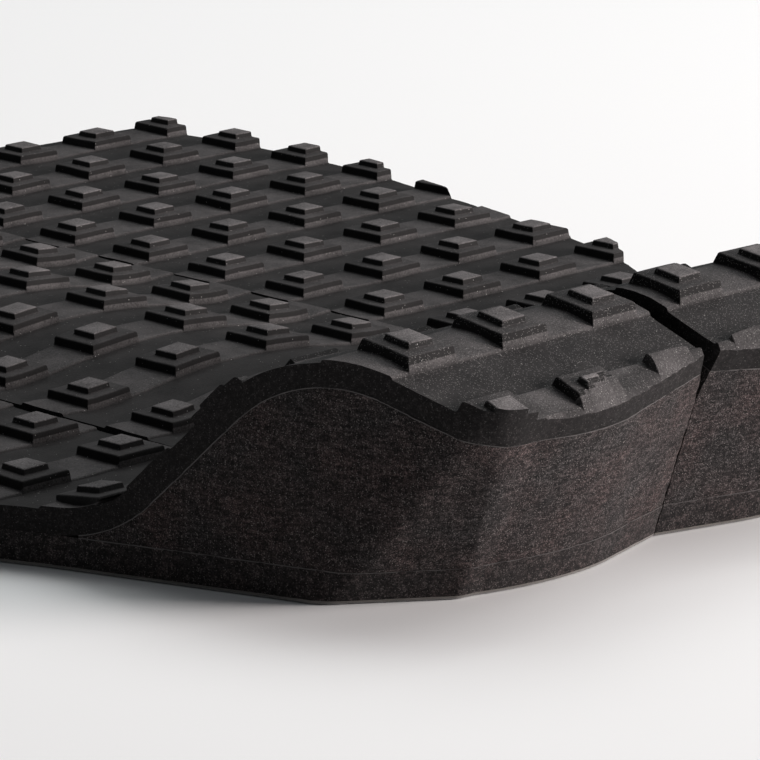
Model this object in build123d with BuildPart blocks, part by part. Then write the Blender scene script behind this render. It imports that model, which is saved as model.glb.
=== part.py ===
"""Three-piece foam traction pad with a raised kick. Millimetres, +Z up, +Y towards the nose, symmetric about X = 0."""
from build123d import *
from math import atan2, cos, degrees, radians, sin, tan
import os

os.makedirs("parts", exist_ok=True)

# Layers, from the surface the pad rests on upwards
liner_thickness = 0.2
adhesive_thickness = 0.3
base_thickness = 5.0
skin_thickness = 4.0
ridge_rise = 0.5
block_rise = 1.65
stud_rise = 1.05
grip_root = 1.5

# Grip pattern: a stud on a block, the blocks in rows on low ridges that run across the pad
pitch = 21.0
block_side = 10.5
stud_side = 5.4
grip_draft = 9.0
first_row_y = 84.0
centre_first_row_y = 93.3

# Outline of the right half, from the nose round to the kick
nose_y = 95.5
nose_corner = (135.0, 91.5)
widest = (138.6, 54.6)
shoulder = (134.8, 12.6)
flank = (120.8, -48.3)
waist = (101.2, -86.5)
kick_side_start = (80.2, -123.9)
kick_side_angle = 19.9
nose_corner_radius = 4.0

# Seams between the three pieces, and the slot that parts the kick in two
centre_half_width = 43.0
centre_rear_y = -111.0
seam = 0.8
kick_slot = 4.4

# Kick: a wedge of ground foam with a concave front, a rounded crest and a sloping back
toe_y = -130.1
apex_y = -160.9
ramp_angle = 47.0
back_slope = 20.5
toe_radius = 21.6
crest_radius = 21.4
kick_rows = 4
kick_row_step = 18.8
tail_row_step = 20.9

# Rear wall of the kick: a shallow V that overhangs, with each lower outer corner bevelled away
rear_middle_y = -175.4
rear_sweep = 14.5
rear_overhang = 18.3
rear_corner_radius = 12.0
bevel_start = (65.3, -164.6)
bevel_end = (41.8, -181.6)
bevel_overhang = 25.0

# Arch bar under the middle of the centre piece, with a flat margin left on each side
arch_margin = 2.0
arch_rise = 3.3

# Height of the block that the kick is cut from
kick_stock = 60.0

adhesive_z = liner_thickness
base_z = adhesive_z + adhesive_thickness
deck_z = base_z + base_thickness
skin_top = skin_thickness + ridge_rise
arch_half_width = centre_half_width - arch_margin
reach = widest[0] - rear_middle_y
columns = [pitch * (n + 0.5) for n in range(int(widest[0] / pitch) + 1)]
centre_columns = [x for x in columns if x + block_side / 2 < centre_half_width]
arm_columns = [x for x in columns if x - block_side / 2 > centre_half_width]
deck_rows = int((first_row_y - centre_rear_y) / pitch) + 1
on_floor = (Align.CENTER, Align.CENTER, Align.MIN)


def kick_corners(rise):
    """Points of the sharp line back over the kick, moved out by rise from the top of the wedge."""
    ramp = radians(ramp_angle)
    back = radians(back_slope)
    normals = [(0, 1), (sin(ramp), cos(ramp)), (-sin(back), cos(back))]
    corners = [(toe_y, deck_z), (apex_y, deck_z + (toe_y - apex_y) * tan(ramp))]
    moved = []
    for (y, z), before, after in zip(corners, normals, normals[1:]):
        share = rise / (1 + before[0] * after[0] + before[1] * after[1])
        moved.append((y + share * (before[0] + after[0]), z + share * (before[1] + after[1])))
    crest_y, crest_z = moved[1]
    return [(reach, deck_z + rise), *moved, (-reach, crest_z - (reach + crest_y) * tan(back))]


def kick_line(rise):
    """That line with its toe and crest rounded."""
    return FilletPolyline(*kick_corners(rise), radius=[toe_radius - rise, crest_radius + rise])


with BuildLine() as wedge_top:
    kick_line(0)


def row_plane(distance):
    """Plane across the pad where the wedge's line is distance behind the nose row, at the top of a ridge."""
    along_line = reach - first_row_y + distance
    spot = wedge_top.wire().position_at(along_line, position_mode=PositionMode.LENGTH)
    along = wedge_top.wire().tangent_at(along_line, position_mode=PositionMode.LENGTH)
    seat = Plane(origin=(0, spot.X, spot.Y), x_dir=(1, 0, 0), z_dir=(0, along.Y, -along.X))
    return seat.offset(skin_top)


def arch_height(x):
    """Rise of the arch bar over the base at x: a crown between two hollows of the same radius."""
    radius = (arch_half_width ** 2 / arch_rise + arch_rise) / 4
    if abs(x) < arch_half_width / 2:
        return arch_rise - radius + (radius ** 2 - x ** 2) ** 0.5
    return radius - (radius ** 2 - max(arch_half_width - abs(x), 0) ** 2) ** 0.5


def arch_line(rise):
    """Line across the centre piece, lifted by rise from the base and the arch bar."""
    z = deck_z + rise
    left = Line((-centre_half_width, z), (-arch_half_width, z))
    climb = TangentArc(left @ 1, (-arch_half_width / 2, z + arch_rise / 2), tangent=left % 1)
    crown = TangentArc(climb @ 1, (arch_half_width / 2, z + arch_rise / 2), tangent=climb % 1)
    fall = TangentArc(crown @ 1, (arch_half_width, z), tangent=crown % 1)
    right = Line(fall @ 1, (centre_half_width, z))
    return left, right


def arch_band(low, high):
    """Edges round the band between two lifts of the arch line."""
    with BuildLine() as band:
        low_left, low_right = arch_line(low)
        high_left, high_right = arch_line(high)
        Line(low_left @ 0, high_left @ 0)
        Line(low_right @ 1, high_right @ 1)
    return band.edges()


def grips(seats, spots):
    """Adds a block, rooted in the skin, with a stud on top at each of the spots on each of the seats."""
    for seat in seats:
        with BuildSketch(seat.offset(-grip_root)) as blocks:
            with Locations(*spots):
                Rectangle(block_side, block_side)
        extrude(blocks.sketch, amount=grip_root + block_rise, taper=grip_draft)
        with BuildSketch(seat.offset(block_rise)) as studs:
            with Locations(*spots):
                Rectangle(stud_side, stud_side)
        extrude(studs.sketch, amount=stud_rise, taper=grip_draft)


# The outline of the right half as a tall block, cut by the rear wall's plane and the bevel's plane
sweep = radians(rear_sweep)
lean = radians(rear_overhang)
rear_wall = Plane(
    origin=(0, rear_middle_y, 0),
    z_dir=(-sin(sweep) * cos(lean), -cos(sweep) * cos(lean), -sin(lean)),
)
bevel_run = Vector(*bevel_end) - Vector(*bevel_start)
bevel_face = Plane(
    origin=(*bevel_start, 0),
    z_dir=Vector(-bevel_run.Y, bevel_run.X).normalized() * cos(radians(bevel_overhang))
    - Vector(0, 0, sin(radians(bevel_overhang))),
)
with BuildPart() as outline:
    with BuildSketch():
        with BuildLine():
            nose = TangentArc((0, nose_y), nose_corner, tangent=(1, 0))
            arm = ThreePointArc(nose @ 1, widest, shoulder)
            arm_end = TangentArc(arm @ 1, flank, tangent=arm % 1)
            cutaway = TangentArc(arm_end @ 1, waist, tangent=arm_end % 1)
            tail = TangentArc(cutaway @ 1, kick_side_start, tangent=cutaway % 1)
            side = PolarLine(tail @ 1, -rear_middle_y / 2, -90 - kick_side_angle)
            Polyline(side @ 1, (0, (side @ 1).Y), (0, nose_y))
        make_face()
    extrude(amount=kick_stock)
    nose_edge = outline.edges().filter_by(Axis.Z).sort_by_distance((*nose_corner, kick_stock / 2))[0]
    fillet(nose_edge, nose_corner_radius)
    split(bisect_by=rear_wall, keep=Keep.BOTTOM)
    leaning_edges = outline.edges().filter_by(lambda edge: 0.1 < abs((edge % 0).Z) < 0.999)
    fillet(leaning_edges.sort_by(Axis.X)[-1], rear_corner_radius)
    split(bisect_by=bevel_face, keep=Keep.BOTTOM)

# The right side piece's own block: the outline without the centre piece, the seams and the kick's slot
with BuildPart() as right_block:
    add(outline.part)
    with Locations((0, centre_rear_y - seam / 2 + reach, 0)):
        Box(2 * centre_half_width + seam, 2 * reach, kick_stock, align=on_floor, mode=Mode.SUBTRACT)
    Box(kick_slot, 4 * reach, kick_stock, align=on_floor, mode=Mode.SUBTRACT)

# The centre piece's own block
with BuildPart() as centre_block:
    add(outline.part)
    mirror(about=Plane.YZ)
    with Locations((0, centre_rear_y + seam / 2 + reach, 0)):
        Box(2 * centre_half_width - seam, 2 * reach, kick_stock, align=on_floor, mode=Mode.INTERSECT)


def layer(block, low, thickness):
    """The slice of a block that starts at height low."""
    add(block.part)
    with Locations((0, 0, low)):
        Box(4 * reach, 4 * reach, thickness, align=on_floor, mode=Mode.INTERSECT)


# Flat layers of the right piece
with BuildPart() as right_release_liner:
    layer(right_block, 0, liner_thickness)

with BuildPart() as right_adhesive_sheet:
    layer(right_block, adhesive_z, adhesive_thickness)

with BuildPart() as right_base_layer:
    layer(right_block, base_z, base_thickness)

# Flat layers of the centre piece
with BuildPart() as centre_release_liner:
    layer(centre_block, 0, liner_thickness)

with BuildPart() as centre_adhesive_sheet:
    layer(centre_block, adhesive_z, adhesive_thickness)

with BuildPart() as centre_base_layer:
    layer(centre_block, base_z, base_thickness)

# Wedge of coarse ground foam between the base and the skin of the right half of the kick
with BuildPart() as right_kick_core:
    with BuildSketch(Plane.YZ):
        with BuildLine():
            top = kick_line(0)
            Polyline(top @ 0, (reach, 0), (-reach, 0), top @ 1)
        make_face()
    extrude(amount=reach)
    Box(4 * reach, 4 * reach, deck_z, align=on_floor, mode=Mode.SUBTRACT)
    add(right_block.part, mode=Mode.INTERSECT)

# Moulded grip skin of the right piece: flat over the deck, then up and over the wedge
row_distances = [pitch * n for n in range(deck_rows)]
kick_distances = [row_distances[-1] + kick_row_step * (n + 1) for n in range(kick_rows)]
kick_distances.append(kick_distances[-1] + tail_row_step)
with BuildPart() as right_deck_skin:
    with BuildSketch(Plane.YZ):
        with BuildLine():
            inside = kick_line(0)
            outside = kick_line(skin_thickness)
            Line(inside @ 0, outside @ 0)
            Line(inside @ 1, outside @ 1)
        make_face()
    with BuildSketch(Plane.YZ) as ridges:
        with BuildLine():
            inside = kick_line(skin_thickness / 2)
            outside = kick_line(skin_top)
            Line(inside @ 0, outside @ 0)
            Line(inside @ 1, outside @ 1)
        make_face()
        with BuildSketch(Plane.YZ, mode=Mode.INTERSECT):
            for distance in row_distances + kick_distances:
                seat = row_plane(distance)
                with Locations((seat.origin.Y, seat.origin.Z)):
                    tilt = degrees(atan2(-seat.z_dir.Y, seat.z_dir.Z))
                    Rectangle(block_side, skin_top, rotation=tilt)
    extrude(amount=reach)
    grips([row_plane(distance) for distance in row_distances], [(x, 0) for x in arm_columns])
    grips([row_plane(distance) for distance in kick_distances], [(x, 0) for x in columns])
    add(right_block.part, mode=Mode.INTERSECT)

# Arch bar that crowns the centre piece, between its base and its skin
with BuildPart() as centre_arch_core:
    with BuildSketch(Plane.XZ.offset(-reach)) as bar:
        with BuildLine():
            left, right = arch_line(0)
            Polyline(left @ 0, (-centre_half_width, 0), (centre_half_width, 0), right @ 1)
        make_face()
    extrude(amount=2 * reach)
    Box(4 * reach, 4 * reach, deck_z, align=on_floor, mode=Mode.SUBTRACT)
    add(centre_block.part, mode=Mode.INTERSECT)

# Moulded grip skin of the centre piece, bent over the arch bar, with rows of its own
centre_rows = [centre_first_row_y - pitch * n for n in range(deck_rows)]
with BuildPart() as centre_deck_skin:
    with BuildSketch(Plane.XZ.offset(-reach)):
        make_face(arch_band(skin_thickness / 2, skin_top))
    extrude(amount=2 * reach)
    with BuildSketch() as strips:
        with Locations(*[(0, y) for y in centre_rows]):
            Rectangle(2 * centre_half_width, block_side)
    extrude(strips.sketch, amount=kick_stock, mode=Mode.INTERSECT)
    with BuildSketch(Plane.XZ.offset(-reach)) as sheet:
        make_face(arch_band(0, skin_thickness))
    extrude(sheet.sketch, amount=2 * reach)
    for x in centre_columns:
        step = arch_height(x + grip_root) - arch_height(x - grip_root)
        for side_x, slope in ((x, step), (-x, -step)):
            seat = Plane(
                origin=(side_x, 0, deck_z + skin_top + arch_height(x)),
                x_dir=(2 * grip_root, 0, slope),
                z_dir=(-slope, 0, 2 * grip_root),
            )
            grips([seat], [(0, y) for y in centre_rows])
    add(centre_block.part, mode=Mode.INTERSECT)

# The left piece mirrors the right one
with BuildPart() as left_release_liner:
    mirror(right_release_liner.part, about=Plane.YZ)

with BuildPart() as left_adhesive_sheet:
    mirror(right_adhesive_sheet.part, about=Plane.YZ)

with BuildPart() as left_base_layer:
    mirror(right_base_layer.part, about=Plane.YZ)

with BuildPart() as left_kick_core:
    mirror(right_kick_core.part, about=Plane.YZ)

with BuildPart() as left_deck_skin:
    mirror(right_deck_skin.part, about=Plane.YZ)

pieces = {
    "right_release_liner": right_release_liner,
    "right_adhesive_sheet": right_adhesive_sheet,
    "right_base_layer": right_base_layer,
    "right_kick_core": right_kick_core,
    "right_deck_skin": right_deck_skin,
    "left_release_liner": left_release_liner,
    "left_adhesive_sheet": left_adhesive_sheet,
    "left_base_layer": left_base_layer,
    "left_kick_core": left_kick_core,
    "left_deck_skin": left_deck_skin,
    "centre_release_liner": centre_release_liner,
    "centre_adhesive_sheet": centre_adhesive_sheet,
    "centre_base_layer": centre_base_layer,
    "centre_arch_core": centre_arch_core,
    "centre_deck_skin": centre_deck_skin,
}

# The origin lies under the middle of the pad
middle_y = (right_deck_skin.part.bounding_box().min.Y + centre_deck_skin.part.bounding_box().max.Y) / 2
for name, piece in pieces.items():
    piece.part.position = (0, -middle_y, 0)
    piece.part.label = name
    export_step(piece.part, f"parts/{name}.step")
    print(name, len(piece.part.solids()), round(piece.part.volume), piece.part.bounding_box())
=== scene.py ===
# Three-piece foam traction pad with a raised kick: moulded grip skin over cut foam, glued up in layers
import math
import bpy
import numpy as np
from mathutils import Matrix, Vector
from mathutils.kdtree import KDTree


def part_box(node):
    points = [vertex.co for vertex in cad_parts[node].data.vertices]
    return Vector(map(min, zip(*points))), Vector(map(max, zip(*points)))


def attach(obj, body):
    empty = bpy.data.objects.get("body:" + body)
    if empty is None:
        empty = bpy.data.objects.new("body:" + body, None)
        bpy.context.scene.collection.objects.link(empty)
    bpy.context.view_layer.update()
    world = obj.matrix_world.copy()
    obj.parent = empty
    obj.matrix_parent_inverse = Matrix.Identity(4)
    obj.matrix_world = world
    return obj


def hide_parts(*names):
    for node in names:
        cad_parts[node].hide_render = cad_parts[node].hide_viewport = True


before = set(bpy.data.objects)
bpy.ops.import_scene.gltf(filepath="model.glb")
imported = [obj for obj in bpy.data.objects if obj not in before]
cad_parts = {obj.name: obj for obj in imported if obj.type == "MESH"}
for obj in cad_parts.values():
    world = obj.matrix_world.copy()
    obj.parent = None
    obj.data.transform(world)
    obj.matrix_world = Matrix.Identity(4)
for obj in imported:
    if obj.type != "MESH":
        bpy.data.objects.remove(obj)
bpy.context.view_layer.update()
mm = 0.001  # shapes are worked out in millimetres


def edges(node):
    low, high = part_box(node)
    return low / mm, high / mm


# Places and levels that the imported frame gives
skinLow, skinHigh = edges("right_deck_skin")
centreLow, centreHigh = edges("centre_deck_skin")
baseLow, baseHigh = edges("right_base_layer")
glueLow, glueHigh = edges("right_adhesive_sheet")
linerLow, linerHigh = edges("right_release_liner")
deckZ = baseHigh.z
kickTop = skinHigh.z

# The plan of the right half, in millimetres from the pad's own cross line
plan = {
    "noseY": 95.5,
    "noseCorner": 135.0 + 91.5j,
    "noseCornerRadius": 4.0,
    "widest": 138.6 + 54.6j,
    "shoulder": 134.8 + 12.6j,
    "flank": 120.8 - 48.3j,
    "waist": 101.2 - 86.5j,
    "kickSideStart": 80.2 - 123.9j,
    "kickSideTurn": 19.9,
    "seam": 0.8,
    "seamCornerRadius": 0.9,
    "slotTight": 0.12,
    "slotOpens": (23.0, 35.0),
    "rearMiddleY": -175.4,
    "rearSweep": 14.5,
    "rearOverhang": 18.3,
    "rearCornerRadius": 12.0,
    "bevelStart": 65.3 - 164.6j,
    "bevelEnd": 41.8 - 181.6j,
    "bevelOverhang": 25.0,
    "bevelSideRadius": 1.2,
    "bevelRearRadius": 15.0,
    "bevelTurn": 16.0,  # over this distance the bevel's edge changes from one radius to the other
    "insideKick": 38.0 - 150.0j,
    "cornerRays": 230,
    "rayReach": (5.0, 95.0),
    "halvings": 34,
    "raysEnd": 2.5,  # how far beside the slot the rays stop
    "slotPoints": 18,
    "slotBlend": 4.0,
    "noseSpacing": 0.3,
    "spacing": 0.85,
}
shiftY = centreHigh.y - plan["noseY"]
slotX = skinLow.x
centreX = centreHigh.x
centreRearY = centreLow.y - shiftY

# The wedge's top line, from the deck back over the kick
kick = {
    "startY": 104.0,
    "toeY": -130.1,
    "apexY": -160.9,
    "rampAngle": 47.0,
    "backSlope": 20.5,
    "toeRadius": 21.6,
    "crestRadius": 21.4,
    "backLength": 60.0,
    "step": 0.2,
    "neutral": 2.0,  # height in the skin that keeps its length when it bends
    "featherEdge": 0.35,
    "coreLineStep": 0.9,
}

# The moulded pattern: low ridges across the pad, with blocks on them and a stud on each block
pattern = {
    "pitch": 21.0,
    "firstRow": 84.0,
    "centreFirstRow": 93.3,
    "deckRows": 10,
    "kickRows": 4,
    "kickStep": 18.8,
    "tailStep": 20.9,
    "skin": 4.0,
    "half": 5.25,
    "studHalf": 2.7,
    # how far out from the nominal edge, and how high, each drafted and rounded flank goes
    "ridgeFlank": ((-0.45, 0.5), (-0.2, 0.43), (-0.05, 0.26), (0.1, 0.06), (0.35, 0.0)),
    "blockFlank": (
        (-0.62, 1.65), (-0.42, 1.62), (-0.27, 1.52), (-0.2, 1.36), (0.0, 0.2), (0.1, 0.05), (0.3, 0.0),
    ),
    "studFlank": (
        (-0.45, 1.05), (-0.3, 1.03), (-0.19, 0.95), (-0.13, 0.83), (0.0, 0.16), (0.08, 0.04), (0.25, 0.0),
    ),
    "levelShares": (0.4, 0.3, 0.3),  # of the raised value: ridge, block and stud
    "swell": ((11.0, 0.14), (3.2, 0.05)),
    "deckStep": 1.7,
    "kickLineStep": 0.9,
    "closest": 0.03,  # grid lines nearer than this are merged
    "columns": 7,
    # the ground rear edge: its width, how far it drops, what it leaves of the blocks, the thinnest skin,
    # what is left of the raised value there, and how far behind the apex it begins
    "rearRounding": 4.5,
    "rearDrop": 0.9,
    "rearKeep": 2.2,
    "rearThinnest": 0.6,
    "groundShade": 0.3,
    "pastApex": 4.0,
    "stiffFrom": 1.3,  # block height from which the top no longer bends with the skin
    "edgeLift": 0.45,
    "edgeLiftWidth": 7.0,
    "crestRow": 2,
    "crestRowBack": 2.2,
    # places along the line, columns and remaining height of blocks that the side cut spoilt
    "spoilt": ((226.6, 73.5, 0.0), (243.2, 73.5, 0.45)),
}


def unit(value):
    return value / abs(value)


def scatter(points, size, seed):
    # smooth random values from -1 to 1, with a lattice cell of that size
    cell = np.floor(points / size)
    part = points / size - cell
    part = part * part * (3 - 2 * part)
    cell = cell.astype(np.int64)
    total = np.zeros(points.shape[:-1])
    for corner in np.ndindex(2, 2, 2):
        weight = np.prod(np.where(np.array(corner, bool), part, 1 - part), axis=-1)
        key = (cell + corner) @ np.array([73856093, 19349663, 83492791]) + seed * 26544357
        key = (key ^ (key >> 13)) * 1274126177 & 0x7FFFFFFF
        total += weight * (((key ^ (key >> 15)) % 65521) / 32760 - 1)
    return total


def tangentArc(start, direction, end, spacing=None, count=None):
    # points along the arc that leaves start in that direction and ends at end, and the direction it ends in
    chord = end - start
    half = np.angle(chord / direction)
    length = abs(chord) * half / math.sin(half)
    count = count or max(2, round(length / spacing))
    share = np.linspace(0, 1, count + 1)
    points = start + direction * length * (np.exp(2j * half * share) - 1) / (2j * half)
    return points, unit(direction * np.exp(2j * half))


def straight(start, end, spacing):
    return np.linspace(start, end, max(2, round(abs(end - start) / spacing)) + 1)


def roundCorner(before, after, radius, count=7):
    # joins two runs of points that meet at a corner
    corner = before[-1]
    arriving = unit(corner - before[-2])
    leaving = unit(after[1] - corner)
    reach = radius * math.tan(abs(np.angle(leaving / arriving)) / 2)
    arc, _ = tangentArc(corner - arriving * reach, arriving, corner + leaving * reach, count=count)
    near = reach * 1.05
    return np.concatenate([before[abs(before - corner) > near], arc, after[abs(after - corner) > near]])


def circleTangent(first, second, third):
    # direction in which the circle through three points leaves the first
    towards = second - first
    bend = 1j * np.angle((third - second) / towards)
    share = abs(towards) / (abs(towards) + abs(third - second))
    return unit(towards * np.exp(-bend * share))


def roundMax(first, second, radius):
    # the larger of two distances, with the edge where they meet rounded
    inside = np.maximum(first + radius, 0) ** 2 + np.maximum(second + radius, 0) ** 2
    atCorner = (first > -radius) & (second > -radius)
    return np.where(atCorner, np.sqrt(inside) - radius, np.maximum(first, second))


def smooth(value):
    value = np.clip(value, 0, 1)
    return value * value * (3 - 2 * value)


sideDirection = np.exp(-1j * math.radians(90 + plan["kickSideTurn"]))
bevelDirection = unit(plan["bevelEnd"] - plan["bevelStart"])
rearLean = math.radians(plan["rearOverhang"])
bevelLean = math.radians(plan["bevelOverhang"])
rearDirection = np.exp(1j * math.radians(180 + plan["rearSweep"]))


def outward(point, origin, direction):
    # distance of a plan point to the left of a line
    return ((point - origin) * np.conj(direction * 1j)).real


def kickDepth(point, z):
    # distance of a point outside the kick's side, bevel and rear wall, below zero inside
    side = outward(point, plan["kickSideStart"], sideDirection)
    rear = -outward(point, plan["rearMiddleY"] * 1j, np.conj(rearDirection) * -1)
    rear = rear * math.cos(rearLean) - z * math.sin(rearLean)
    bevel = outward(point, plan["bevelStart"], bevelDirection)
    bevel = bevel * math.cos(bevelLean) - z * math.sin(bevelLean)
    corner = roundMax(side, rear, plan["rearCornerRadius"])
    turn = smooth((rear - side) / plan["bevelTurn"] + 0.5)
    radius = plan["bevelSideRadius"] + (plan["bevelRearRadius"] - plan["bevelSideRadius"]) * turn
    return roundMax(corner, bevel, radius)


print("plan ready")


def fixedSide():
    # the right piece's edge from the seam round the nose and down to the kick, the same at every height
    step = plan["spacing"]
    inner = centreX + plan["seam"]
    nose, _ = tangentArc(plan["noseY"] * 1j, 1 + 0j, plan["noseCorner"], plan["noseSpacing"])
    nose = nose[nose.real > inner]
    nose[0] = inner + nose[0].imag * 1j
    leaving = circleTangent(plan["noseCorner"], plan["widest"], plan["shoulder"])
    arm, heading = tangentArc(plan["noseCorner"], leaving, plan["shoulder"], step)
    line = roundCorner(nose, arm, plan["noseCornerRadius"])
    for spot in ("flank", "waist", "kickSideStart"):
        stretch, heading = tangentArc(line[-1], heading, plan[spot], step)
        line = np.concatenate([line[:-1], stretch])
    return line


edgeOfArm = fixedSide()


def kickEdge(z):
    # where rays from inside the kick meet its side, bevel and rear wall at that height
    middle = plan["insideKick"]
    rearEdge = rearPoint(slotEdge(z) + plan["raysEnd"], z)
    first = np.angle(plan["kickSideStart"] - middle)
    last = np.angle(rearEdge - middle) % -(2 * math.pi)
    rays = np.exp(1j * np.linspace(first, last, plan["cornerRays"]))[1:]
    near, far = (np.full(rays.shape, reach) for reach in plan["rayReach"])
    for _ in range(plan["halvings"]):
        half = (near + far) / 2
        inside = kickDepth(middle + rays * half, z) < 0
        near = np.where(inside, half, near)
        far = np.where(inside, far, half)
    return middle + rays * near


def slotEdge(z):
    # the slot through the kick is a tight seam low down and opens towards the crest
    low, high = plan["slotOpens"]
    return plan["slotTight"] + (slotX - plan["slotTight"]) * float(smooth((z - low) / (high - low)))


def rearPoint(x, z):
    # the rear wall's place at that distance from the middle
    lean = z * math.tan(rearLean) / math.cos(math.radians(plan["rearSweep"]))
    return x + (plan["rearMiddleY"] - x * math.tan(math.radians(plan["rearSweep"])) - lean) * 1j


def seamEdge():
    # the rest of the right piece's edge: up the kick's slot, across behind the centre piece and up beside it
    step, radius = plan["spacing"], plan["seamCornerRadius"]
    rearSeam = (centreRearY - plan["seam"]) * 1j
    inner = centreX + plan["seam"]
    slot = straight(slotX + (plan["rearMiddleY"] + step) * 1j, slotX + rearSeam, step)
    across = straight(slotX + rearSeam, inner + rearSeam, step)
    up = straight(inner + rearSeam, inner + edgeOfArm[0].imag * 1j, step)
    return roundCorner(slot, roundCorner(across, up, radius), radius)[:-1]


edgeOfSeams = seamEdge()
slotShare = smooth((slotX + plan["slotBlend"] - edgeOfSeams.real) / plan["slotBlend"])


def sideOutline(z):
    # closed outline of the right piece at that height, clockwise seen from above
    slot = slotEdge(z)
    seams = edgeOfSeams - (slotX - slot) * slotShare
    slotRear = np.linspace(rearPoint(slot, z), seams[0], plan["slotPoints"])[:-1]
    return np.concatenate([edgeOfArm, kickEdge(z), slotRear, seams])


def centreOutline(z):
    # closed outline of the centre piece, clockwise seen from above
    step, radius = plan["spacing"], plan["seamCornerRadius"]
    nose, _ = tangentArc(plan["noseY"] * 1j, 1 + 0j, plan["noseCorner"], plan["noseSpacing"])
    nose = nose[nose.real < centreX][::3]
    nose = np.append(nose, centreX + nose[-1].imag * 1j)
    side = straight(nose[-1], centreX + centreRearY * 1j, step)
    half = roundCorner(nose, side, radius)
    half = roundCorner(half, straight(half[-1], centreRearY * 1j, step), radius)
    return np.concatenate([half, -np.conj(half[::-1])[1:-1]])


def signedVolume(points, faces):
    total = 0.0
    for size in {len(face) for face in faces}:
        group = points[np.array([face for face in faces if len(face) == size])]
        for corner in range(1, size - 1):
            across = np.cross(group[:, corner], group[:, corner + 1])
            total += np.einsum("ij,ij->i", group[:, 0], across).sum()
    return total / 6


def addPiece(name, points, faces, finish):
    # a closed mesh from millimetre points, facing outwards, at the pad's place in the frame
    if signedVolume(points, faces) < 0:
        faces = [face[::-1] for face in faces]
    mesh = bpy.data.meshes.new(name)
    mesh.from_pydata((points + np.array([0, shiftY, 0])) * mm, [], faces)
    mesh.materials.append(finish)
    piece = bpy.data.objects.new(name, mesh)
    bpy.context.collection.objects.link(piece)
    return piece


def wallGrid(outline, levels, side, fuzz, seed, proud=0.0):
    # points of a wall round an outline, pushed in and out a little as cut foam is
    loops = np.array([outline(z) for z in levels])
    ahead = np.roll(loops, -1, axis=1) - np.roll(loops, 1, axis=1)
    normal = 1j * ahead / abs(ahead)
    heights = np.broadcast_to(np.array(levels)[:, None], loops.shape)
    spots = np.stack([loops.real * side, loops.imag, heights], axis=-1)
    push = np.full(loops.shape, proud)
    for k, (size, stretch, depth) in enumerate(fuzz):
        push += depth * scatter(spots / np.array(stretch), size, seed + k)
    moved = loops + normal * push
    return np.stack([moved.real * side, moved.imag, heights], axis=-1)


def wallFaces(rows, count):
    faces = []
    for row in range(rows - 1):
        low = row * count
        for k in range(count):
            after = (k + 1) % count
            faces.append((low + k, low + count + k, low + count + after, low + after))
    faces.append(tuple(range(count)))
    faces.append(tuple(range(rows * count - 1, (rows - 1) * count - 1, -1)))
    return faces


def cutBlock(name, outline, levels, side, fuzz, seed, finish, proud=0.0):
    grid = wallGrid(outline, levels, side, fuzz, seed, proud)
    return addPiece(name, grid.reshape(-1, 3), wallFaces(*grid.shape[:2]), finish)


def slabFaces(rows, count):
    # faces of a slab: a top grid, then two points a row for its underside
    faces = []
    low = rows * count
    for i in range(rows - 1):
        here, after = i * count, (i + 1) * count
        a, b = low + 2 * i, low + 2 * i + 2
        faces.extend((here + j, after + j, after + j + 1, here + j + 1) for j in range(count - 1))
        faces.append((a, a + 1, b + 1, b))
        faces.append((here, a, b, after))
        faces.append((here + count - 1, after + count - 1, b + 1, a + 1))
    last, end = (rows - 1) * count, low + 2 * rows - 2
    faces.extend((j, j + 1, low) for j in range(count - 1))
    faces.append((count - 1, low + 1, low))
    faces.extend((last + j + 1, last + j, end) for j in range(count - 1))
    faces.append((end + 1, last + count - 1, end))
    return faces


def slab(name, top, under, finish):
    rows, count = top.shape[:2]
    points = np.concatenate([top.reshape(-1, 3), under.reshape(-1, 3)])
    return addPiece(name, points, slabFaces(rows, count), finish)


def keepInside(piece, block):
    # trims a piece to a block and drops the block
    trim = piece.modifiers.new("trim", "BOOLEAN")
    trim.object = block
    trim.operation = "INTERSECT"
    trim.solver = "MANIFOLD"
    trim.material_mode = "TRANSFER"
    view = bpy.context.evaluated_depsgraph_get()
    mesh = bpy.data.meshes.new_from_object(piece.evaluated_get(view))
    piece.modifiers.clear()
    piece.data = mesh
    bpy.data.objects.remove(block)
    return piece


def shade(piece, angle=38):
    piece.data.shade_smooth()
    piece.data.set_sharp_from_angle(angle=math.radians(angle))


print("outline tools ready")


# How the skin lies: flat over the deck, up the wedge, over its crest and down its back

def wedgeLine():
    ramp = math.radians(kick["rampAngle"])
    back = math.radians(kick["backSlope"])
    toeTangent = kick["toeRadius"] * math.tan(ramp / 2)
    crestTangent = kick["crestRadius"] * math.tan((ramp + back) / 2)
    flat = kick["startY"] - kick["toeY"] - toeTangent
    climb = (kick["toeY"] - kick["apexY"]) / math.cos(ramp) - toeTangent - crestTangent
    lengths = [flat, kick["toeRadius"] * ramp, climb, kick["crestRadius"] * (ramp + back), kick["backLength"]]
    marks = np.concatenate([[0], np.cumsum(lengths)])
    run = np.arange(0, marks[-1], kick["step"])
    tilt = np.interp(run, marks, [0, 0, ramp, ramp, -back, -back])
    middle = (tilt[1:] + tilt[:-1]) / 2
    y = kick["startY"] - np.append(0, np.cumsum(np.cos(middle) * kick["step"]))
    z = deckZ + np.append(0, np.cumsum(np.sin(middle) * kick["step"]))
    return run, run - kick["neutral"] * tilt, y, z, tilt


lineRun, lineAlong, lineY, lineZ, lineTilt = wedgeLine()


def kickPlace(along, x, height):
    y, z, tilt = (np.interp(along, lineAlong, values) for values in (lineY, lineZ, lineTilt))
    return np.stack(np.broadcast_arrays(x, y + np.sin(tilt) * height, z + np.cos(tilt) * height), axis=-1)


# The arch bar under the middle of the centre piece

arch = {"lines": 90, "feather": 4.5}
archHigh = edges("centre_arch_core")[1]
archRise = archHigh.z - deckZ
archWidth = archHigh.x


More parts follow.
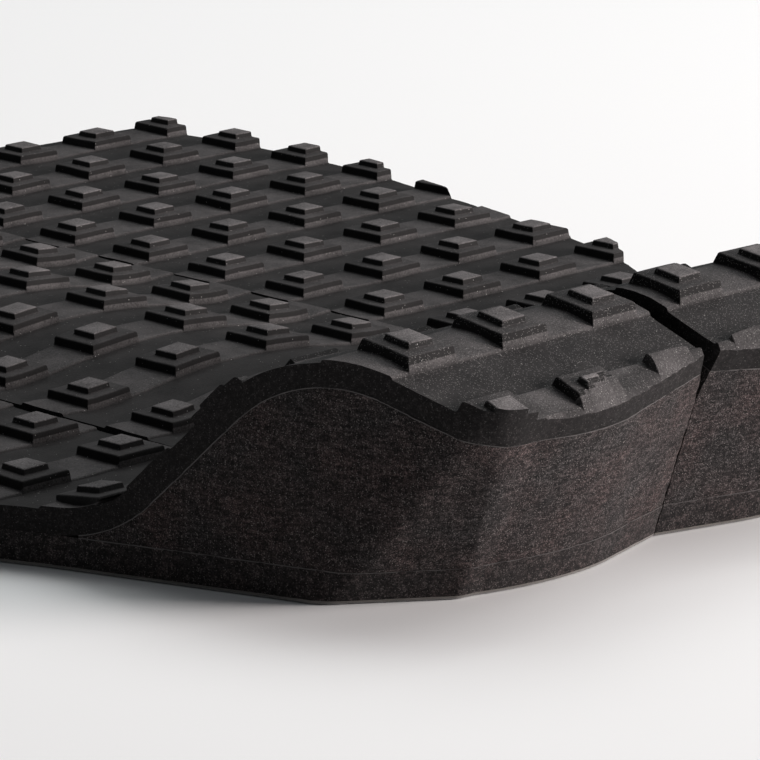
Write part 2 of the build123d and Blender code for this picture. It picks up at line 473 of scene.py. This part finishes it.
def archPlace(x, y, height):
    radius = (archWidth ** 2 / archRise + archRise) / 4
    crown = archRise - radius + np.sqrt(radius ** 2 - np.minimum(abs(x), archWidth / 2) ** 2)
    foot = np.clip(archWidth - abs(x), 0, archWidth / 2)
    hollow = radius - np.sqrt(radius ** 2 - foot ** 2)
    onCrown = abs(x) < archWidth / 2
    z = deckZ + np.where(onCrown, crown, hollow)
    slope = np.where(onCrown, -x / radius, -np.sign(x) * foot / radius)
    lean = np.sqrt(1 - slope ** 2)
    return np.stack(np.broadcast_arrays(x - slope * height, y, z + lean * height), axis=-1)


# The grip pattern

def flank(distance, profile):
    out, high = zip(*profile)
    return np.interp(distance, out, high)


def nearest(values, spots):
    return np.min(abs(values[:, None] - np.array(spots)[None, :]), axis=1)


def linesThrough(spots, low, high, step):
    # grid lines at every bend of the moulded flanks, and no further apart than step between them
    lines = [low, high]
    for spot in spots:
        for profile, name in (("ridgeFlank", "half"), ("blockFlank", "half"), ("studFlank", "studHalf")):
            half = pattern[name]
            for out, _ in pattern[profile]:
                lines += [spot - half - out, spot + half + out]
    lines = np.unique(np.round([line for line in lines if low <= line <= high], 3))
    lines = lines[np.append(True, np.diff(lines) > pattern["closest"])]
    filled = [lines[:1]]
    for start, end in zip(lines, lines[1:]):
        filled.append(np.linspace(start, end, math.ceil((end - start) / step) + 1)[1:])
    return np.concatenate(filled)


def gripHeights(along, across, rows, columns):
    # heights of ridges, blocks and studs over a grid
    toRow = nearest(along, rows)
    toColumn = nearest(across, columns)
    half, studHalf = pattern["half"], pattern["studHalf"]
    ridge = flank(toRow - half, pattern["ridgeFlank"])[:, None] * np.ones_like(across)
    block, stud = (
        np.minimum.outer(flank(toRow - reach, pattern[kind]), flank(toColumn - reach, pattern[kind]))
        for reach, kind in ((half, "blockFlank"), (studHalf, "studFlank"))
    )
    return ridge, block, stud


def raisedShare(ridge, block, stud):
    # how far up the moulded pattern a point is, from 0 to 1
    ridgeShare, blockShare, studShare = pattern["levelShares"]
    return ridge / ridgeHigh * ridgeShare + block / blockHigh * blockShare + stud / studHigh * studShare


def swell(points, seed):
    return sum(depth * scatter(points, size, seed + k) for k, (size, depth) in enumerate(pattern["swell"]))


pitch = pattern["pitch"]
ridgeHigh, blockHigh, studHigh = (pattern[kind][0][1] for kind in ("ridgeFlank", "blockFlank", "studFlank"))
columns = [pitch * (n + 0.5) for n in range(pattern["columns"])]
deckRuns = [pitch * n for n in range(pattern["deckRows"])]
kickRuns = [deckRuns[-1] + pattern["kickStep"] * (n + 1) for n in range(pattern["kickRows"])]
kickRuns.append(kickRuns[-1] + pattern["tailStep"])
kickRuns[pattern["crestRow"]] -= pattern["crestRowBack"]
startRun = kick["startY"] - pattern["firstRow"]
sideRows = np.interp(np.array(deckRuns + kickRuns) + startRun, lineRun, lineAlong)
centreRows = [pattern["centreFirstRow"] - run for run in deckRuns]

# How the parts are cut: distance between levels, how far a trim passes the part, the gap between two faces,
# and each wall's unevenness as the lumps' size, their stretch in X, Y and Z, and their depth
cutting = {
    "step": 0.95,
    "coreStep": 0.85,
    "below": 1.0,
    "past": 3.0,
    "pastSeam": 2.0,
    "pastSlot": 0.8,
    "pastSide": 8.0,
    "ends": (4.0, 8.0),
    "gap": 0.03,
    "sideSkin": ((2.6, (1, 1, 0.6), 0.07), (1.1, (1, 1, 1), 0.10)),
    "centreSkin": ((2.6, (1, 1, 0.6), 0.05), (1.1, (1, 1, 1), 0.07)),
    "kickCore": ((5.0, (2.2, 2.2, 0.35), 0.09), (2.2, (1.6, 1.6, 0.5), 0.10), (1.0, (1, 1, 1), 0.13)),
    "archCore": ((2.2, (1.6, 1.6, 0.5), 0.08), (1.0, (1, 1, 1), 0.1)),
}


def cutLevels(top, step):
    return np.arange(deckZ - cutting["below"], top + cutting["past"], step)


def sideName(side, part):
    return ("right" if side > 0 else "left") + part


def stiffPlace(along, x, height):
    # places in the plane that touches the skin at the middle of each row
    row = sideRows[np.argmin(abs(along[..., None] - sideRows), axis=-1)]
    y, z, tilt = (np.interp(row, lineAlong, values) for values in (lineY, lineZ, lineTilt))
    on = along - row
    y = y - np.cos(tilt) * on + np.sin(tilt) * height
    z = z + np.sin(tilt) * on + np.cos(tilt) * height
    return np.stack(np.broadcast_arrays(x, y, z), axis=-1)


def kickLines(along):
    # extra grid lines from the last deck row on, where the skin bends
    toeAt = np.interp(startRun + deckRuns[-1], lineRun, lineAlong)
    filled = [along[along <= toeAt]]
    for start, end in zip(along, along[1:]):
        if start > toeAt:
            count = math.ceil((end - start) / pattern["kickLineStep"]) + 1
            filled.append(np.linspace(start, end, count)[1:])
    return np.concatenate(filled)


def grindRear(base, heights, raised):
    # the rear edge is ground round, through whatever stands there
    rounding = pattern["rearRounding"]
    inside = -kickDepth(base[..., 0] + 1j * base[..., 1], base[..., 2])
    onBack = base[..., 1] < kick["apexY"] - pattern["pastApex"]
    outer = np.clip(rounding - inside, 0, rounding)
    slope = pattern["rearKeep"] * (1 - outer / rounding)
    drop = pattern["rearDrop"] * (1 - np.sqrt(1 - (outer / rounding) ** 2))
    limit = pattern["skin"] + ridgeHigh + slope - drop
    rearNear = onBack & (inside < rounding) & (rearDistance(base) < rounding)
    heights = np.where(rearNear, np.minimum(heights, np.maximum(limit, pattern["rearThinnest"])), heights)
    raised = np.where(rearNear & (heights <= limit), raised * pattern["groundShade"], raised)
    return heights, raised


def sideSkin(side, seed, moulded, cut):
    front, rear = cutting["ends"]
    x = linesThrough(columns, -cutting["pastSlot"], skinHigh.x + cutting["past"], pattern["deckStep"])
    along = kickLines(linesThrough(sideRows, front, lineAlong[-1] - rear, pattern["deckStep"]))
    ridge, block, stud = gripHeights(along, x, sideRows, columns)
    for run, column, left in pattern["spoilt"]:
        row = np.interp(run + startRun, lineRun, lineAlong)
        there = np.outer(abs(along - row) < pitch / 2, abs(x - column) < pitch / 2)
        block, stud = (np.where(there, high * left, high) for high in (block, stud))
    base = kickPlace(along[:, None], x[None, :], pattern["skin"])
    heights = pattern["skin"] + ridge + block + stud
    heights = heights + swell(base * [side, 1, 1], seed)
    heights, raised = grindRear(base, heights, raisedShare(ridge, block, stud))
    # blocks are stiff: they stand flat on the bent skin
    bent = kickPlace(along[:, None], x[None, :], heights)
    stiff = stiffPlace(along[:, None], x[None, :], heights)
    share = smooth(block / pattern["stiffFrom"])[..., None]
    top = (bent + (stiff - bent) * share) * [side, 1, 1]
    under = kickPlace(along[:, None], x[[0, -1]][None, :], cutting["gap"]) * [side, 1, 1]
    piece = slab(sideName(side, "_deck_skin"), top, under, moulded)
    levels = cutLevels(kickTop, cutting["step"])
    keepInside(piece, cutBlock("trim", sideOutline, levels, side, cutting["sideSkin"], seed + 40, cut))
    keepRaised(piece, top, raised)
    return piece


def rearDistance(points):
    # distance inside the rear wall's own plane
    lean = points[..., 2] * math.tan(rearLean) / math.cos(math.radians(plan["rearSweep"]))
    wall = plan["rearMiddleY"] - points[..., 0] * math.tan(math.radians(plan["rearSweep"])) - lean
    return (points[..., 1] - wall) * math.cos(rearLean)


def keepRaised(piece, top, raised):
    # stores on each point how far up the moulded pattern it is
    tree = KDTree(raised.size)
    for k, point in enumerate((top.reshape(-1, 3) + [0, shiftY, 0]) * mm):
        tree.insert(point, k)
    tree.balance()
    flat = raised.ravel()
    layer = piece.data.attributes.new("raised", "FLOAT", "POINT")
    layer.data.foreach_set("value", [flat[tree.find(v.co)[1]] for v in piece.data.vertices])


def centreSkin(seed, moulded, cut):
    past = cutting["past"]
    centreColumns = [side * column for column in columns[:2] for side in (1, -1)]
    pastSeam = centreX + cutting["pastSeam"]
    x = linesThrough(centreColumns, -pastSeam, pastSeam, pattern["deckStep"])
    y = linesThrough(centreRows, centreRearY - past, plan["noseY"] + past, pattern["deckStep"])
    ridge, block, stud = (high.T for high in gripHeights(y, x, centreRows, centreColumns))
    # the last row has no blocks between its outer two
    bare = np.outer(abs(x) < pitch, y < centreRows[-1] + pitch / 2)
    relief = [ridge, np.where(bare, 0, block), np.where(bare, 0, stud)]
    raised = raisedShare(*relief)
    width = pattern["edgeLiftWidth"]
    lift = pattern["edgeLift"] * smooth((abs(x) - archWidth + width) / width)[:, None]
    heights = pattern["skin"] + sum(relief) + lift + swell(archPlace(x[:, None], y[None, :], 0), seed)
    top = archPlace(x[:, None], y[None, :], heights)
    under = archPlace(x[:, None], y[[0, -1]][None, :], cutting["gap"])
    piece = slab("centre_deck_skin", top, under, moulded)
    levels = cutLevels(centreHigh.z, cutting["step"])
    keepInside(piece, cutBlock("trim", centreOutline, levels, 1, cutting["centreSkin"], seed + 40, cut))
    keepRaised(piece, top, raised)
    return piece


# The glue shows at the walls as thin beads, standing a little proud
beads = {"half": 0.08, "proud": 0.07, "step": 2.0}


def bead(top, under, side, levels, seed):
    finish = finishes["glueLine"]
    line = slab("bead", top * [side, 1, 1], under * [side, 1, 1], finish)
    trim = cutBlock("trim", sideOutline, levels, side, cutting["kickCore"], seed, finish, beads["proud"])
    return keepInside(line, trim)


def join(piece, others):
    # puts other meshes into a piece, with their finishes
    parts = [piece] + others
    points, faces, slots = [], [], []
    for part in parts:
        mesh = part.data
        start = len(points)
        if part is not piece:
            piece.data.materials.append(mesh.materials[0])
        points += [tuple(v.co) for v in mesh.vertices]
        for face in mesh.polygons:
            faces.append([start + k for k in face.vertices])
            slots.append(0 if part is piece else len(piece.data.materials) - 1)
    joined = bpy.data.meshes.new(piece.name)
    joined.from_pydata(points, [], faces)
    for finish in piece.data.materials:
        joined.materials.append(finish)
    joined.polygons.foreach_set("material_index", slots)
    piece.data = joined
    for part in others:
        bpy.data.objects.remove(part)
    return piece


def kickCore(side, seed, finish):
    end = lineAlong[-1] - cutting["ends"][1]
    start = lineAlong[np.argmax(lineZ > deckZ + kick["featherEdge"])]
    along = np.arange(start, end, kick["coreLineStep"])
    x = np.array([-cutting["pastSlot"], plan["kickSideStart"].real + cutting["pastSide"]])
    top = kickPlace(along[:, None], x[None, :], -cutting["gap"]) * [side, 1, 1]
    under = top.copy()
    under[..., 2] = deckZ + cutting["gap"]
    piece = slab(sideName(side, "_kick_core"), top, under, finish)
    levels = cutLevels(kickTop, cutting["coreStep"])
    keepInside(piece, cutBlock("trim", sideOutline, levels, side, cutting["kickCore"], seed, finish))
    # one bead under the skin, and one in the joint with the base
    skinJoint = [kickPlace(along[:, None], x[None, :], rise) for rise in (beads["half"], -beads["half"])]
    y = np.interp(np.arange(start, end, beads["step"]), lineAlong, lineY)[:, None]
    flat = np.stack(np.broadcast_arrays(x[None, :], y, deckZ), axis=-1)
    baseJoint = [flat + np.array([0, 0, rise]) for rise in (beads["half"], -beads["half"])]
    return join(piece, [bead(*joint, side, levels, seed) for joint in (skinJoint, baseJoint)])


def archCore(seed, finish):
    past = cutting["past"]
    x = np.linspace(-1, 1, arch["lines"]) * (archWidth - arch["feather"])
    y = np.array([centreRearY - past, plan["noseY"] + past])
    top = archPlace(x[:, None], y[None, :], -cutting["gap"])
    under = top.copy()
    under[..., 2] = deckZ + cutting["gap"]
    piece = slab("centre_arch_core", top, under, finish)
    levels = cutLevels(centreHigh.z, cutting["step"])
    return keepInside(piece, cutBlock("trim", centreOutline, levels, 1, cutting["archCore"], seed, finish))


layers = {
    "base_layer": {
        "low": baseLow.z,
        "high": baseHigh.z,
        "rows": 7,
        "fuzz": ((2.4, (1.4, 1.4, 0.6), 0.08), (1.0, (1, 1, 1), 0.1)),
    },
    "adhesive_sheet": {"low": glueLow.z, "high": glueHigh.z, "rows": 2, "fuzz": ((6.0, (1, 1, 1), 0.06),)},
    "release_liner": {"low": linerLow.z, "high": linerHigh.z, "rows": 2, "fuzz": ((9.0, (1, 1, 1), 0.04),)},
}


def flatLayer(place, kind, seed, finish):
    layer = layers[kind]
    outline = centreOutline if place == "centre" else sideOutline
    levels = np.linspace(layer["low"], layer["high"], layer["rows"])
    side = -1 if place == "left" else 1
    return cutBlock(f"{place}_{kind}", outline, levels, side, layer["fuzz"], seed, finish)


print("shapes ready")


# Materials

class Wire:
    # one output of a node; operators on it add the Math nodes for the same sum

    def __init__(self, maker, socket):
        self.maker = maker
        self.socket = socket

    def math(self, operation, first, second):
        return self.maker.add("ShaderNodeMath", {"operation": operation}, {0: first, 1: second})

    def __add__(self, other):
        return self.math("ADD", self, other)

    def __radd__(self, other):
        return self.math("ADD", other, self)

    def __mul__(self, other):
        return self.math("MULTIPLY", self, other)

    def __rmul__(self, other):
        return self.math("MULTIPLY", other, self)

    def __gt__(self, other):
        return self.math("GREATER_THAN", self, other)

    def __lt__(self, other):
        return self.math("LESS_THAN", self, other)


class Maker:
    # builds one material's nodes

    def __init__(self, name):
        self.material = bpy.data.materials.new(name)
        self.material.use_nodes = True
        self.tree = self.material.node_tree
        self.shader = self.tree.nodes["Principled BSDF"]
        self.place = self.add("ShaderNodeTexCoord", out="Object")

    def add(self, kind, settings=None, inputs=None, out=0):
        node = self.tree.nodes.new(kind)
        for key, value in (settings or {}).items():
            if key == "stops":
                self.setStops(node.color_ramp, value)
            else:
                setattr(node, key, value)
        for key, value in (inputs or {}).items():
            self.feed(node.inputs[key], value)
        return Wire(self, node.outputs[out])

    def setStops(self, ramp, stops):
        while len(ramp.elements) < len(stops):
            ramp.elements.new(0.5)
        for element, (place, shade) in zip(ramp.elements, stops):
            element.position = place
            element.color = (shade, shade, shade, 1)

    def feed(self, socket, value):
        if isinstance(value, Wire):
            self.tree.links.new(value.socket, socket)
        else:
            socket.default_value = value

    def blend(self, share, first, second):
        colours = [value if isinstance(value, Wire) else (*value, 1) for value in (first, second)]
        inputs = {0: share, 6: colours[0], 7: colours[1]}
        return self.add("ShaderNodeMix", {"data_type": "RGBA"}, inputs, out=2)

    def stretch(self, x, y, z):
        return self.add("ShaderNodeVectorMath", {"operation": "MULTIPLY"}, {0: self.place, 1: (x, y, z)})

    def cloud(self, size, detail=2.0, roughness=0.5, place=None):
        inputs = {"Vector": place or self.place, "Scale": 1 / (size * mm)}
        inputs.update({"Detail": detail, "Roughness": roughness})
        return self.add("ShaderNodeTexNoise", inputs=inputs)

    def ramp(self, value, *stops):
        return self.add("ShaderNodeValToRGB", {"stops": stops}, {"Fac": value})

    def flecks(self, size, share, width=0.3):
        # small bright dots, in that share of the cells
        cells = {"Vector": self.place, "Scale": 1 / (size * mm)}
        near = self.add("ShaderNodeTexVoronoi", inputs=cells, out="Distance")
        tint = self.add("ShaderNodeTexVoronoi", inputs=cells, out="Color")
        chance = self.add("ShaderNodeSeparateColor", inputs={"Color": tint})
        return (chance > 1 - share) * (near < width)

    def finish(self, colour, roughness, height, relief, **constants):
        self.feed(self.shader.inputs["Base Color"], colour)
        self.feed(self.shader.inputs["Roughness"], roughness)
        bump = {"Height": height, "Strength": relief["strength"], "Distance": relief["depth"] * mm}
        self.feed(self.shader.inputs["Normal"], self.add("ShaderNodeBump", inputs=bump))
        for key, value in constants.items():
            self.shader.inputs[key.replace("_", " ")].default_value = value
        return self.material


mouldedFoam = {
    "tint": (0.125, 0.116, 0.117),
    # share of the tint at each level of the pattern: channel, ridge, block face, block, stud face, stud; the
    # block and stud faces are painted shade and the ridge, block and stud tops painted sheen, the stud tops
    # partly wear and partly painted sheen
    "levels": (
        (0.02, 0.15), (0.34, 0.44), (0.405, 0.44), (0.435, 0.06), (0.645, 0.06),
        (0.69, 0.30), (0.706, 0.30), (0.745, 0.07), (0.935, 0.08), (0.985, 0.86),
    ),
    # colour of the flecks: the foam's own flecks, and the painted glints on the kick
    "fleckColour": (0.25, 0.24, 0.235),
    "grain": 0.30,
    "patches": 7.0,
    "fleckSize": 0.38,
    "fleckShare": 0.035,
    # share and width of the painted glints on the kick
    "kickGlints": (0.60, 0.27),
    "kickPlace": (-0.088, -0.074),
    "roughness": (0.68, 0.88),
    "gloss": 0.14,
    "relief": {"strength": 0.5, "depth": 0.14},
}


def mouldedSkin():
    look = mouldedFoam
    maker = Maker("moulded_grip_foam")
    raised = maker.add("ShaderNodeAttribute", {"attribute_name": "raised"}, out="Fac")
    grain = maker.cloud(look["grain"], 3.0, 0.65)
    patches = maker.cloud(look["patches"], 4.0, 0.6)
    # colour by pattern level: painted shade on the block and stud flanks, painted sheen on the raised tops
    colour = maker.blend(maker.ramp(raised, *look["levels"]), (0, 0, 0), look["tint"])
    mottle = maker.ramp(patches * 0.38 + grain * 0.62, (0.32, 0.15), (0.68, 1.65))
    mixing = {"data_type": "RGBA", "blend_type": "MULTIPLY"}
    colour = maker.add("ShaderNodeMix", mixing, {0: 1.0, 6: colour, 7: mottle}, out=2)
    # the kick gets far more bright flecks than the deck: painted glints where the light catches it
    share, width = look["kickGlints"]
    start, end = look["kickPlace"]
    along = maker.add("ShaderNodeSeparateXYZ", inputs={0: maker.place}, out="Y")
    onKick = maker.add("ShaderNodeMapRange", inputs={0: along, 1: start, 2: end, 3: 1.0, 4: 0.0})
    fine = maker.flecks(look["fleckSize"] * 0.8, share, width) * onKick
    # painted glints in the fleck colour, on the kick only
    colour = maker.blend(fine * 0.42, colour, look["fleckColour"])
    colour = maker.blend(maker.flecks(look["fleckSize"], look["fleckShare"], 0.22), colour, look["fleckColour"])
    low, high = look["roughness"]
    roughness = low + grain * (high - low)
    height = grain * 0.7 + maker.cloud(look["grain"] * 2.4, 2.0) * 0.5
    return maker.finish(colour, roughness, height, look["relief"], Specular_IOR_Level=look["gloss"])


def cutFoam(name, look):
    # foam that a blade or a grinding wheel has opened: dark cells with paler torn edges
    maker = Maker(name)
    streaks = maker.cloud(look["streakSize"], 3.0, 0.6, maker.stretch(0.45, 0.45, 2.2))
    cells = maker.cloud(look["cellSize"], 4.0, 0.75)
    coarse = maker.cloud(look["cellSize"] * 3.1, 2.0, 0.6)
    mix = cells * 0.62 + streaks * look["streak"] + coarse * (0.38 - look["streak"])
    torn = maker.ramp(mix, *look["stops"])
    tint = maker.ramp(maker.cloud(look["tintSize"], 3.0), (0.35, 0.0), (0.68, 1.0))
    pale = maker.blend(tint, look["pale"], look["paleWarm"])
    colour = maker.blend(torn, look["dark"], pale)
    fine = maker.flecks(look["fleckSize"] * 0.8, look["fineShare"], 0.28)
    colour = maker.blend(fine * 0.62, colour, look["fleckColour"])
    colour = maker.blend(maker.flecks(look["fleckSize"], look["fleckShare"], 0.22), colour, look["fleckColour"])
    height = cells * 0.8 + coarse * 0.4 + streaks * look["streak"]
    low, high = look["roughness"]
    roughness = low + cells * (high - low)
    return maker.finish(colour, roughness, height, look["relief"], Specular_IOR_Level=look["gloss"])


groundFoam = {
    "dark": (0.0036, 0.0031, 0.0031),
    "pale": (0.080, 0.072, 0.072),
    "paleWarm": (0.124, 0.090, 0.087),
    "fleckColour": (0.19, 0.17, 0.165),
    "streakSize": 1.3,
    "streak": 0.20,
    "cellSize": 0.23,
    "tintSize": 9.0,
    "stops": ((0.44, 0.0), (0.53, 0.24), (0.61, 1.0)),
    "fleckSize": 0.40,
    "fleckShare": 0.05,
    "fineShare": 0.40,
    "roughness": (0.78, 0.95),
    "gloss": 0.15,
    "relief": {"strength": 0.8, "depth": 0.22},
}
cutSkinFoam = dict(
    groundFoam,
    dark=(0.0055, 0.0050, 0.0050),
    pale=(0.024, 0.022, 0.022),
    paleWarm=(0.030, 0.026, 0.026),
    fleckColour=(0.080, 0.074, 0.073),
    streak=0.06,
    cellSize=0.27,
    fleckShare=0.03,
    fineShare=0.22,
    relief={"strength": 0.55, "depth": 0.12},
)
baseFoam = dict(
    cutSkinFoam,
    pale=(0.064, 0.056, 0.056),
    paleWarm=(0.084, 0.064, 0.062),
    fleckColour=(0.15, 0.135, 0.13),
    fineShare=0.35,
    streak=0.12,
    cellSize=0.30,
)
linerPaper = {"colour": (0.105, 0.102, 0.10), "fibre": (0.145, 0.14, 0.135), "roughness": (0.34, 0.5)}
glueFilm = {"colour": (0.085, 0.078, 0.070), "cloud": (0.12, 0.11, 0.10), "roughness": (0.25, 0.42)}
glueBead = {"colour": (0.050, 0.044, 0.043), "cloud": (0.022, 0.019, 0.019), "roughness": (0.45, 0.7)}


def sheetFinish(name, look, first, second, size, coat):
    maker = Maker(name)
    wisps = maker.cloud(size, 5.0, 0.65, maker.stretch(1.0, 0.35, 1.0))
    colour = maker.blend(maker.ramp(wisps, (0.35, 0.0), (0.7, 1.0)), look[first], look[second])
    low, high = look["roughness"]
    relief = {"strength": 0.25, "depth": 0.05}
    roughness = low + wisps * (high - low)
    return maker.finish(colour, roughness, wisps, relief, Coat_Weight=coat, Coat_Roughness=0.25)


finishes = {
    "moulded": mouldedSkin(),
    "cutSkin": cutFoam("cut_grip_foam", cutSkinFoam),
    "base": cutFoam("cut_base_foam", baseFoam),
    "core": cutFoam("ground_core_foam", groundFoam),
    "glue": sheetFinish("adhesive_film", glueFilm, "colour", "cloud", 3.0, 0.3),
    "glueLine": sheetFinish("glue_line", glueBead, "colour", "cloud", 1.2, 0.1),
    "liner": sheetFinish("release_liner_paper", linerPaper, "colour", "fibre", 1.6, 0.15),
}
print("materials ready")


# The pieces

def settle(piece, node):
    shade(piece)
    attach(piece, "root")
    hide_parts(node)
    print("piece", node, len(piece.data.vertices))


skinFinishes = finishes["moulded"], finishes["cutSkin"]
for side, place, seed in ((1, "right", 100), (-1, "left", 300)):
    settle(sideSkin(side, seed, *skinFinishes), place + "_deck_skin")
    settle(kickCore(side, seed + 10, finishes["core"]), place + "_kick_core")
settle(centreSkin(500, *skinFinishes), "centre_deck_skin")
settle(archCore(510, finishes["core"]), "centre_arch_core")
for place, seed in (("right", 120), ("left", 320), ("centre", 520)):
    for kind, finish, slot, step in (
        ("base_layer", "base", "base_foam", 0),
        ("adhesive_sheet", "glue", "adhesive_film", 5),
        ("release_liner", "liner", "liner_paper", 9),
    ):
        settle(flatLayer(place, kind, seed + step, finishes[finish]), f"{place}_{kind}")


# Floor, light and camera

studio = {
    "floor": 8.0,
    "floorDrop": 0.0002,
    "floorRoughness": 0.9,
    "floorColour": (0.86, 0.86, 0.86),
    "worldColour": (0.9, 0.95, 1.0),
    "worldStrength": 0.10,
    "lights": (
        # name, direction it comes from, distance, size, watts, colour
        ("low_key", (0.62, -0.76, 0.20), 1.5, 0.55, 44.0, (1.0, 0.93, 0.91)),
        ("back_panel", (0.45, 0.55, 1.1), 1.8, 1.5, 14.0, (0.97, 1.0, 1.0)),
        ("top_fill", (0.75, -0.2, 1.0), 1.8, 1.0, 11.0, (1.0, 1.0, 1.0)),
    ),
}
view = {
    "aim": (0.0200, -0.0431, 0.0076),
    "azimuth": 45.75,
    "drop": 14.41,
    "roll": -0.31,
    "distance": 0.88,
    "lens": 236.84,
    "sensor": 36,
}


def addFloor():
    size = studio["floor"] / 2
    mesh = bpy.data.meshes.new("floor")
    corners = [(-size, -size, 0), (size, -size, 0), (size, size, 0), (-size, size, 0)]
    mesh.from_pydata(corners, [], [(0, 1, 2, 3)])
    floor = bpy.data.objects.new("floor", mesh)
    bpy.context.collection.objects.link(floor)
    floor.location.z = -studio["floorDrop"]
    paint = bpy.data.materials.new("floor_paint")
    paint.use_nodes = True
    shader = paint.node_tree.nodes["Principled BSDF"]
    shader.inputs["Base Color"].default_value = (*studio["floorColour"], 1)
    shader.inputs["Roughness"].default_value = studio["floorRoughness"]
    mesh.materials.append(paint)


def addLights():
    world = bpy.data.worlds.new("studio")
    world.use_nodes = True
    sky = world.node_tree.nodes["Background"]
    sky.inputs["Color"].default_value = (*studio["worldColour"], 1)
    sky.inputs["Strength"].default_value = studio["worldStrength"]
    bpy.context.scene.world = world
    bpy.context.scene.view_settings.view_transform = "Standard"
    for name, source, distance, size, power, colour in studio["lights"]:
        lamp = bpy.data.lights.new(name, "AREA")
        lamp.color = colour
        lamp.size = size
        lamp.energy = power
        light = bpy.data.objects.new(name, lamp)
        bpy.context.collection.objects.link(light)
        towards = Vector(source).normalized()
        light.location = towards * distance
        light.rotation_euler = towards.to_track_quat("Z", "Y").to_euler()


def addCamera():
    turn, drop = math.radians(view["azimuth"]), math.radians(view["drop"])
    ahead = Vector((math.sin(turn) * math.cos(drop), math.cos(turn) * math.cos(drop), -math.sin(drop)))
    camera = bpy.data.objects.new("camera", bpy.data.cameras.new("camera"))
    bpy.context.collection.objects.link(camera)
    camera.data.lens = view["lens"]
    camera.data.sensor_width = view["sensor"]
    camera.location = Vector(view["aim"]) - ahead * view["distance"]
    roll = Matrix.Rotation(math.radians(-view["roll"]), 3, "Z").to_quaternion()
    camera.rotation_euler = ((-ahead).to_track_quat("Z", "Y") @ roll).to_euler()
    bpy.context.scene.camera = camera


addFloor()
addLights()
addCamera()
print("studio ready")
